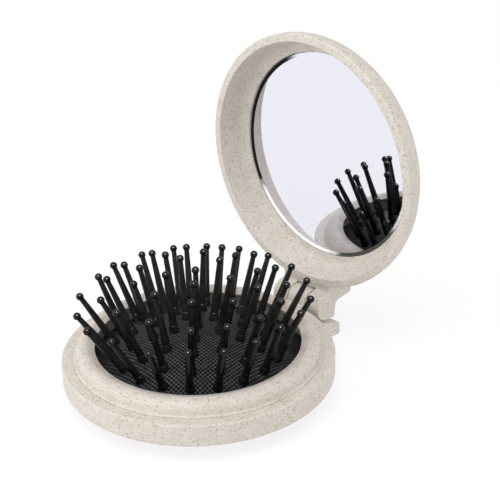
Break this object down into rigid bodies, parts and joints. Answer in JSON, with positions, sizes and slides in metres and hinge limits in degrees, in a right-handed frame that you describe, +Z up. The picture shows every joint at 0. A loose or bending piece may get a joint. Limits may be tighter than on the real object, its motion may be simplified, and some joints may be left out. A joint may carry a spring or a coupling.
{
  "type": "folding compact hairbrush with mirror",
  "caption": "Round pocket hairbrush whose hinged lid holds a mirror; ball-tipped bristles on a domed rubber cushion sink into the base as the lid shuts.",
  "frame": {"origin": "on the table, under the middle of the open brush's outer size; the centre of the round base is 7.4 mm in front of it (-Y)", "axes": "+Z up, +Y from the base towards the hinge and the open lid, +X along the hinge axis; the lid is stored open on its stop"},
  "size_m": [0.068, 0.0827, 0.0821],
  "materials": {
    "cream": "satin moulded plastic with fine straw-coloured flecks",
    "rubber": "matt rubber with a fine crosshatched face",
    "black": "glossy moulded nylon",
    "steel": "drawn wire",
    "mirror": "silvered glass with a bevelled edge",
    "foam": "thin white sticky foam"
  },
  "bodies": {
    "base": {"base_shell": "cream", "bristle_ring": "cream", "rubber_dome": "rubber", "hinge_pin": "steel"},
    "lid": {"lid_shell": "cream", "mirror": "mirror", "mirror_pad": "foam"},
    "button": {"push_button": "cream", "centre_bristle": "black", "inner_row": "black"},
    "second row": {"second_row": "black"},
    "third row": {"third_row": "black"},
    "outer bristle 01": {"outer_bristle_01": "black"},
    "outer bristle 02": {"outer_bristle_02": "black"},
    "outer bristle 03": {"outer_bristle_03": "black"},
    "outer bristle 04": {"outer_bristle_04": "black"},
    "outer bristle 05": {"outer_bristle_05": "black"},
    "outer bristle 06": {"outer_bristle_06": "black"},
    "outer bristle 07": {"outer_bristle_07": "black"},
    "outer bristle 08": {"outer_bristle_08": "black"},
    "outer bristle 09": {"outer_bristle_09": "black"},
    "outer bristle 10": {"outer_bristle_10": "black"},
    "outer bristle 11": {"outer_bristle_11": "black"},
    "outer bristle 12": {"outer_bristle_12": "black"},
    "outer bristle 13": {"outer_bristle_13": "black"},
    "outer bristle 14": {"outer_bristle_14": "black"},
    "outer bristle 15": {"outer_bristle_15": "black"},
    "outer bristle 16": {"outer_bristle_16": "black"},
    "outer bristle 17": {"outer_bristle_17": "black"},
    "outer bristle 18": {"outer_bristle_18": "black"},
    "outer bristle 19": {"outer_bristle_19": "black"},
    "outer bristle 20": {"outer_bristle_20": "black"}
  },
  "joints": [
    {"name": "lid_hinge", "type": "hinge", "parent": "base", "child": "lid", "pos_m": [0, 0.03122, 0.0098], "axis": [1, 0, 0], "range_deg": [0, 89.6]},
    {"name": "button_slide", "type": "slide", "parent": "base", "child": "button", "axis": [0, 0, -1], "range_m": [0, 0.0158], "deforming": ["rubber_dome"]},
    {"name": "second_row_drop", "type": "slide", "parent": "base", "child": "second row", "axis": [0, 0, -1], "range_m": [0, 0.01385]},
    {"name": "third_row_drop", "type": "slide", "parent": "base", "child": "third row", "axis": [0, 0, -1], "range_m": [0, 0.0115]},
    {"name": "outer_bristle_01_tilt", "type": "hinge", "parent": "base", "child": "outer bristle 01", "pos_m": [0.06616, -0.00042, 0.00638], "axis": [0.1045, -0.9945, 0], "range_deg": [0, 12.5]},
    {"name": "outer_bristle_02_tilt", "type": "hinge", "parent": "base", "child": "outer bristle 02", "pos_m": [0.06078, 0.01968, 0.00638], "axis": [0.4067, -0.9135, 0], "range_deg": [0, 12.5]},
    {"name": "outer_bristle_03_tilt", "type": "hinge", "parent": "base", "child": "outer bristle 03", "pos_m": [0.04944, 0.03714, 0.00638], "axis": [0.6691, -0.7431, 0], "range_deg": [0, 12.5]},
    {"name": "outer_bristle_04_tilt", "type": "hinge", "parent": "base", "child": "outer bristle 04", "pos_m": [0.03326, 0.05024, 0.00638], "axis": [0.866, -0.5, 0], "range_deg": [0, 12.5]},
    {"name": "outer_bristle_05_tilt", "type": "hinge", "parent": "base", "child": "outer bristle 05", "pos_m": [0.01383, 0.0577, 0.00638], "axis": [0.9781, -0.2079, 0], "range_deg": [0, 12.5]},
    {"name": "outer_bristle_06_tilt", "type": "hinge", "parent": "base", "child": "outer bristle 06", "pos_m": [-0.00695, 0.05879, 0.00638], "axis": [0.9945, 0.1045, 0], "range_deg": [0, 12.5]},
    {"name": "outer_bristle_07_tilt", "type": "hinge", "parent": "base", "child": "outer bristle 07", "pos_m": [-0.02706, 0.0534, 0.00638], "axis": [0.9135, 0.4067, 0], "range_deg": [0, 12.5]},
    {"name": "outer_bristle_08_tilt", "type": "hinge", "parent": "base", "child": "outer bristle 08", "pos_m": [-0.04451, 0.04206, 0.00638], "axis": [0.7431, 0.6691, 0], "range_deg": [0, 12.5]},
    {"name": "outer_bristle_09_tilt", "type": "hinge", "parent": "base", "child": "outer bristle 09", "pos_m": [-0.05761, 0.02589, 0.00638], "axis": [0.5, 0.866, 0], "range_deg": [0, 12.5]},
    {"name": "outer_bristle_10_tilt", "type": "hinge", "parent": "base", "child": "outer bristle 10", "pos_m": [-0.06507, 0.00646, 0.00638], "axis": [0.2079, 0.9781, 0], "range_deg": [0, 12.5]},
    {"name": "outer_bristle_11_tilt", "type": "hinge", "parent": "base", "child": "outer bristle 11", "pos_m": [-0.06616, -0.01433, 0.00638], "axis": [-0.1045, 0.9945, 0], "range_deg": [0, 12.5]},
    {"name": "outer_bristle_12_tilt", "type": "hinge", "parent": "base", "child": "outer bristle 12", "pos_m": [-0.06078, -0.03443, 0.00638], "axis": [-0.4067, 0.9135, 0], "range_deg": [0, 12.5]},
    {"name": "outer_bristle_13_tilt", "type": "hinge", "parent": "base", "child": "outer bristle 13", "pos_m": [-0.04944, -0.05189, 0.00638], "axis": [-0.6691, 0.7431, 0], "range_deg": [0, 12.5]},
    {"name": "outer_bristle_14_tilt", "type": "hinge", "parent": "base", "child": "outer bristle 14", "pos_m": [-0.03326, -0.06499, 0.00638], "axis": [-0.866, 0.5, 0], "range_deg": [0, 12.5]},
    {"name": "outer_bristle_15_tilt", "type": "hinge", "parent": "base", "child": "outer bristle 15", "pos_m": [-0.01383, -0.07245, 0.00638], "axis": [-0.9781, 0.2079, 0], "range_deg": [0, 12.5]},
    {"name": "outer_bristle_16_tilt", "type": "hinge", "parent": "base", "child": "outer bristle 16", "pos_m": [0.00695, -0.07354, 0.00638], "axis": [-0.9945, -0.1045, 0], "range_deg": [0, 12.5]},
    {"name": "outer_bristle_17_tilt", "type": "hinge", "parent": "base", "child": "outer bristle 17", "pos_m": [0.02706, -0.06815, 0.00638], "axis": [-0.9135, -0.4067, 0], "range_deg": [0, 12.5]},
    {"name": "outer_bristle_18_tilt", "type": "hinge", "parent": "base", "child": "outer bristle 18", "pos_m": [0.04451, -0.05681, 0.00638], "axis": [-0.7431, -0.6691, 0], "range_deg": [0, 12.5]},
    {"name": "outer_bristle_19_tilt", "type": "hinge", "parent": "base", "child": "outer bristle 19", "pos_m": [0.05761, -0.04064, 0.00638], "axis": [-0.5, -0.866, 0], "range_deg": [0, 12.5]},
    {"name": "outer_bristle_20_tilt", "type": "hinge", "parent": "base", "child": "outer bristle 20", "pos_m": [0.06507, -0.02121, 0.00638], "axis": [-0.2079, -0.9781, 0], "range_deg": [0, 12.5]}
  ],
  "couplings": [
    {"joint": "button_slide", "follows": "lid_hinge", "m_per_rad": 0.010103},
    {"joint": "second_row_drop", "follows": "lid_hinge", "m_per_rad": 0.0088565},
    {"joint": "third_row_drop", "follows": "lid_hinge", "m_per_rad": 0.0073538},
    {"joint": "outer_bristle_01_tilt", "follows": "lid_hinge", "ratio": 0.1395},
    {"joint": "outer_bristle_02_tilt", "follows": "lid_hinge", "ratio": 0.1395},
    {"joint": "outer_bristle_03_tilt", "follows": "lid_hinge", "ratio": 0.1395},
    {"joint": "outer_bristle_04_tilt", "follows": "lid_hinge", "ratio": 0.1395},
    {"joint": "outer_bristle_05_tilt", "follows": "lid_hinge", "ratio": 0.1395},
    {"joint": "outer_bristle_06_tilt", "follows": "lid_hinge", "ratio": 0.1395},
    {"joint": "outer_bristle_07_tilt", "follows": "lid_hinge", "ratio": 0.1395},
    {"joint": "outer_bristle_08_tilt", "follows": "lid_hinge", "ratio": 0.1395},
    {"joint": "outer_bristle_09_tilt", "follows": "lid_hinge", "ratio": 0.1395},
    {"joint": "outer_bristle_10_tilt", "follows": "lid_hinge", "ratio": 0.1395},
    {"joint": "outer_bristle_11_tilt", "follows": "lid_hinge", "ratio": 0.1395},
    {"joint": "outer_bristle_12_tilt", "follows": "lid_hinge", "ratio": 0.1395},
    {"joint": "outer_bristle_13_tilt", "follows": "lid_hinge", "ratio": 0.1395},
    {"joint": "outer_bristle_14_tilt", "follows": "lid_hinge", "ratio": 0.1395},
    {"joint": "outer_bristle_15_tilt", "follows": "lid_hinge", "ratio": 0.1395},
    {"joint": "outer_bristle_16_tilt", "follows": "lid_hinge", "ratio": 0.1395},
    {"joint": "outer_bristle_17_tilt", "follows": "lid_hinge", "ratio": 0.1395},
    {"joint": "outer_bristle_18_tilt", "follows": "lid_hinge", "ratio": 0.1395},
    {"joint": "outer_bristle_19_tilt", "follows": "lid_hinge", "ratio": 0.1395},
    {"joint": "outer_bristle_20_tilt", "follows": "lid_hinge", "ratio": 0.1395}
  ]
}
